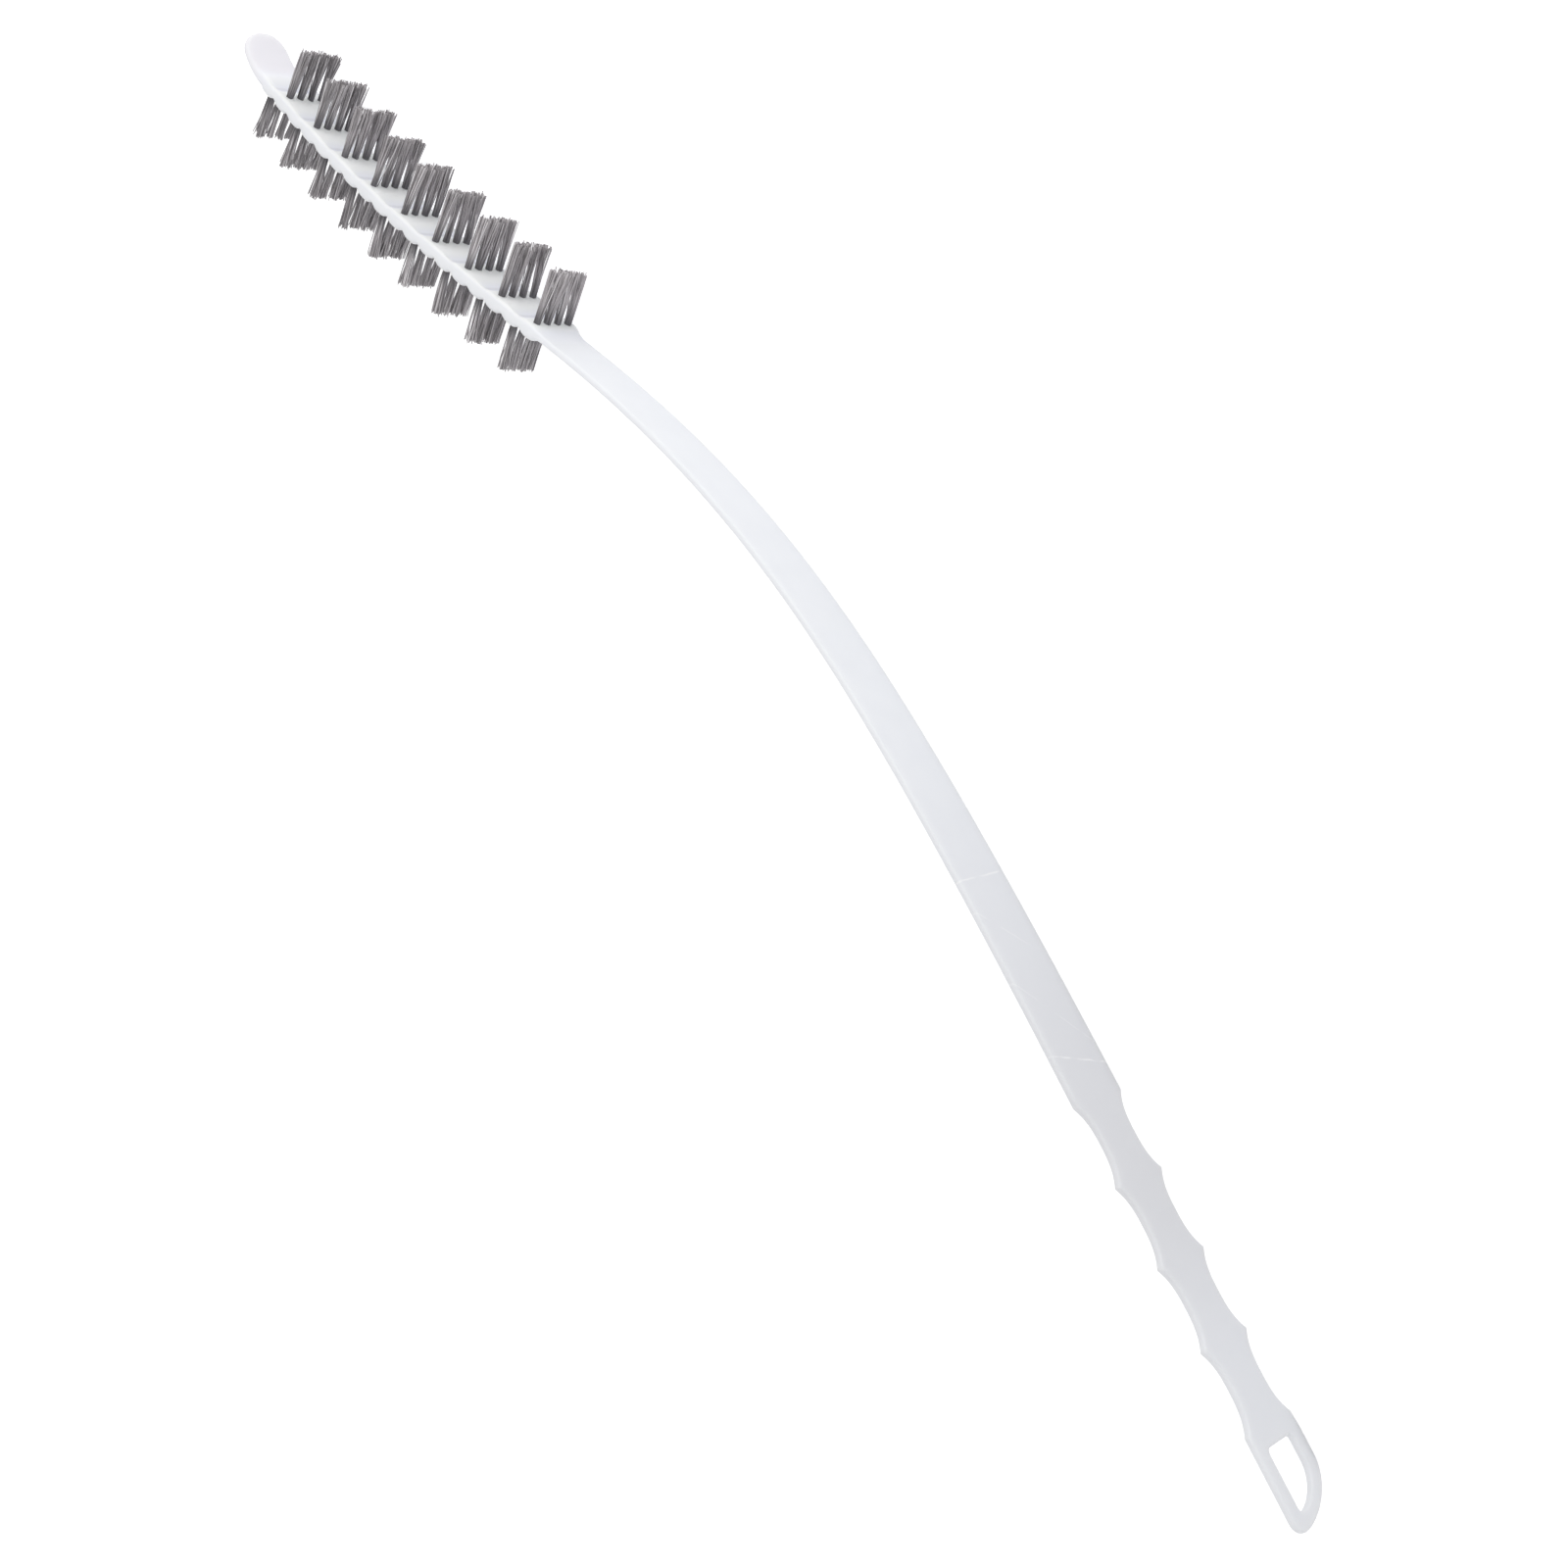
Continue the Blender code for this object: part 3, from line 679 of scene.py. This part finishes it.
def bristle_mesh(name, draw, length, splay, gather, darkness):
    """Mesh of one row's filaments, bowed most half way up, which remember their shade and height."""
    corners = []
    faces = []
    shades = []
    heights = []
    for tuft in range(TUFTS_PER_ROW):
        across = (tuft - (TUFTS_PER_ROW - 1) / 2) * TUFT_SPACING
        for root, tip, bow, shade in tuft_filaments(draw, across, length, splay, gather, darkness):
            base = len(corners)
            twist = draw.uniform(0.0, 2.0 * math.pi)
            for step in range(FILAMENT_STEPS + 1):
                share = step / FILAMENT_STEPS
                middle = root.lerp(tip, share**FLARE_POWER) + bow * (4.0 * share * (1.0 - share))
                middle.z = root.z + (tip.z - root.z) * share
                for side in range(FILAMENT_SIDES):
                    angle = twist + 2.0 * math.pi * side / FILAMENT_SIDES
                    spoke = Vector((math.cos(angle), math.sin(angle), 0.0)) * FILAMENT_RADIUS
                    corners.append(MM * (middle + spoke))
                    shades.append(shade)
                    heights.append(share)
            for step in range(FILAMENT_STEPS):
                for side in range(FILAMENT_SIDES):
                    first = base + step * FILAMENT_SIDES + side
                    second = base + step * FILAMENT_SIDES + (side + 1) % FILAMENT_SIDES
                    faces.append((first, second, second + FILAMENT_SIDES, first + FILAMENT_SIDES))
            top = base + FILAMENT_STEPS * FILAMENT_SIDES
            faces.append(tuple(range(base + FILAMENT_SIDES - 1, base - 1, -1)))
            faces.append(tuple(range(top, top + FILAMENT_SIDES)))
    mesh = bpy.data.meshes.new(name)
    mesh.from_pydata(corners, [], faces)
    for layer_name, values in (("strand_shade", shades), ("strand_height", heights)):
        layer = mesh.attributes.new(layer_name, "FLOAT", "POINT")
        layer.data.foreach_set("value", values)
    mesh.shade_smooth()
    mesh.set_sharp_from_angle(angle=SHARP_EDGE)
    return mesh


ROOT_PAINTED_SHADE = (0.115, 0.11, 0.118, 1.0)
DARK_STRAND = (0.25, 0.234, 0.244, 1.0)
MIDDLE_STRAND = (0.55, 0.52, 0.535, 1.0)
PALE_STRAND_AND_HIGHLIGHT = (0.88, 0.85, 0.86, 1.0)
DARK_TO_MIDDLE = (0.0, 0.7)
MIDDLE_TO_PALE = (0.8, 1.0)
ROOT_TO_BODY = (0.0, 0.55)
NYLON_ROUGHNESS = 0.3
SHADE_ROUGHNESS = 0.2


def grey_nylon():
    """Nylon filament: painted shade in the dense root, paler toward the tips, with every strand its own
    grey.
    """
    material, shader, start = new_finish("grey_nylon_finish")
    shader.inputs["IOR"].default_value = 1.53
    shade = start.stored("strand_shade")
    height = start.stored("strand_height")
    body = shade.rise(*DARK_TO_MIDDLE).blend(DARK_STRAND, MIDDLE_STRAND)
    # The palest strands are a random tone and partly painted highlight on the strands
    body = shade.rise(*MIDDLE_TO_PALE).blend(body, PALE_STRAND_AND_HIGHLIGHT)
    # Painted shade: the lower part of each strand is darkened, as the dense root lies in shade
    body = height.rise(*ROOT_TO_BODY).blend(ROOT_PAINTED_SHADE, body)
    body.feed(shader, "Base Color")
    (NYLON_ROUGHNESS + SHADE_ROUGHNESS * shade).feed(shader, "Roughness")
    return material


nylon = grey_nylon()
for index in range(ROWS_PER_FACE):
    rear_place = FIRST_ROW + 2 * index * ROW_SPACING
    rows = (
        ("front", rear_place + ROW_SPACING, 1, FRONT_LENGTH, FRONT_SPLAY),
        ("rear", rear_place, -1, REAR_LENGTH, REAR_SPLAY),
    )
    for face_name, along, side, length, splay in rows:
        draw = random.Random(f"{face_name} {index}")
        share = index / (ROWS_PER_FACE - 1)
        gather = GATHER_AT_TONGUE + (GATHER_AT_NECK - GATHER_AT_TONGUE) * share
        # Painted light and shade: the power darkens the strands near the tongue and pales them near the
        # neck
        darkness = PAINTED_DARKNESS_AT_TONGUE + (PAINTED_DARKNESS_AT_NECK - PAINTED_DARKNESS_AT_TONGUE) * share
        mesh = bristle_mesh(f"{face_name}_bristles_{index + 1}", draw, length, splay, gather, darkness)
        mesh.transform(row_seat(along, side))
        mesh.materials.append(nylon)
        bristles = add_object(mesh.name, mesh)
        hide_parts(f"{face_name}_tuft_row_{index + 1}")
        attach(bristles, "root")

# The studio is a white sweep in even light from all round, with one soft lamp square to the front of
# the head. The floor shows as pure white but keeps the brush's shadow.
FLOOR_HALF = 6.0
FLOOR_DROP = 0.2 * MM
FLOOR_WHITE = (0.9, 0.9, 0.9, 1.0)
FLOOR_LIFT = 0.55
FLOOR_CORNERS = ((-1, -1), (1, -1), (1, 1), (-1, 1))
SKY_WHITE = (1.0, 1.0, 1.0, 1.0)
SKY_FILL = 0.77
LAMP_PLACE = (-0.24, 0.53, 0.3)
LAMP_SIZE = 0.5
LAMP_POWER = 1.3


def seen_directly(start):
    """1 for what the camera sees, also in a mirror or through glass."""
    camera_ray = start.node("ShaderNodeLightPath", {}, {}, "Is Camera Ray")
    seen = camera_ray.math("MAXIMUM", camera_ray.beside("Is Glossy Ray"))
    return seen.math("MAXIMUM", camera_ray.beside("Is Transmission Ray"))


def white_floor():
    """Pale floor that is lifted to pure white where it is seen."""
    material, shader, start = new_finish("white_floor_finish")
    shader.inputs["Base Color"].default_value = FLOOR_WHITE
    shader.inputs["Roughness"].default_value = 0.9
    shader.inputs["Specular IOR Level"].default_value = 0.0
    glow = start.node("ShaderNodeEmission", {}, {"Strength": FLOOR_LIFT})
    lifted = start.node("ShaderNodeAddShader", {}, {0: start, 1: glow})
    shown = start.node("ShaderNodeMixShader", {}, {0: seen_directly(start), 1: start, 2: lifted})
    shown.feed(material.node_tree.nodes["Material Output"], "Surface")
    return material


floor_mesh = bpy.data.meshes.new("studio_floor")
floor_corners = [(x * FLOOR_HALF, y * FLOOR_HALF, -FLOOR_DROP) for x, y in FLOOR_CORNERS]
floor_mesh.from_pydata(floor_corners, [], [(0, 1, 2, 3)])
floor_mesh.materials.append(white_floor())
floor = add_object("studio_floor", floor_mesh)

world = bpy.data.worlds.new("studio")
bpy.context.scene.world = world
world.use_nodes = True
sky = world.node_tree.nodes["Background"]
sky.inputs["Color"].default_value = SKY_WHITE
sky_start = Socket(sky.outputs[0])
(SKY_FILL + (1.0 - SKY_FILL) * seen_directly(sky_start)).feed(sky, "Strength")

lamp_light = bpy.data.lights.new("front_lamp", "AREA")
lamp_light.shape = "SQUARE"
lamp_light.size = LAMP_SIZE
lamp_light.energy = LAMP_POWER
lamp = add_object("front_lamp", lamp_light)
lamp.location = LAMP_PLACE
lamp.rotation_mode = "QUATERNION"
lamp.rotation_quaternion = (-Vector(LAMP_PLACE)).to_track_quat("-Z", "Y")

# The camera looks down on the brush from above its grip, with the tongue at the top left, through a
# medium lens. It leans far over, because the brush lies on its edge and the photograph stands it up.
CAMERA_PLACE = (0.24578, 0.28798, 0.38947)
CAMERA_LOOK = (-0.38513, -0.57733, -0.71997)
CAMERA_ROLL = -100.86
LENS = 49.03
SENSOR = 36.0
NEAREST_SEEN = 0.01

lens = bpy.data.cameras.new("camera")
lens.lens = LENS
lens.sensor_width = SENSOR
lens.clip_start = NEAREST_SEEN
camera = add_object("camera", lens)
camera.location = CAMERA_PLACE
camera.rotation_mode = "QUATERNION"
camera_roll = Quaternion((0.0, 0.0, 1.0), math.radians(CAMERA_ROLL))
camera.rotation_quaternion = Vector(CAMERA_LOOK).to_track_quat("-Z", "Y") @ camera_roll
bpy.context.scene.camera = camera
bpy.context.scene.view_settings.view_transform = "Standard"

bpy.context.view_layer.update()
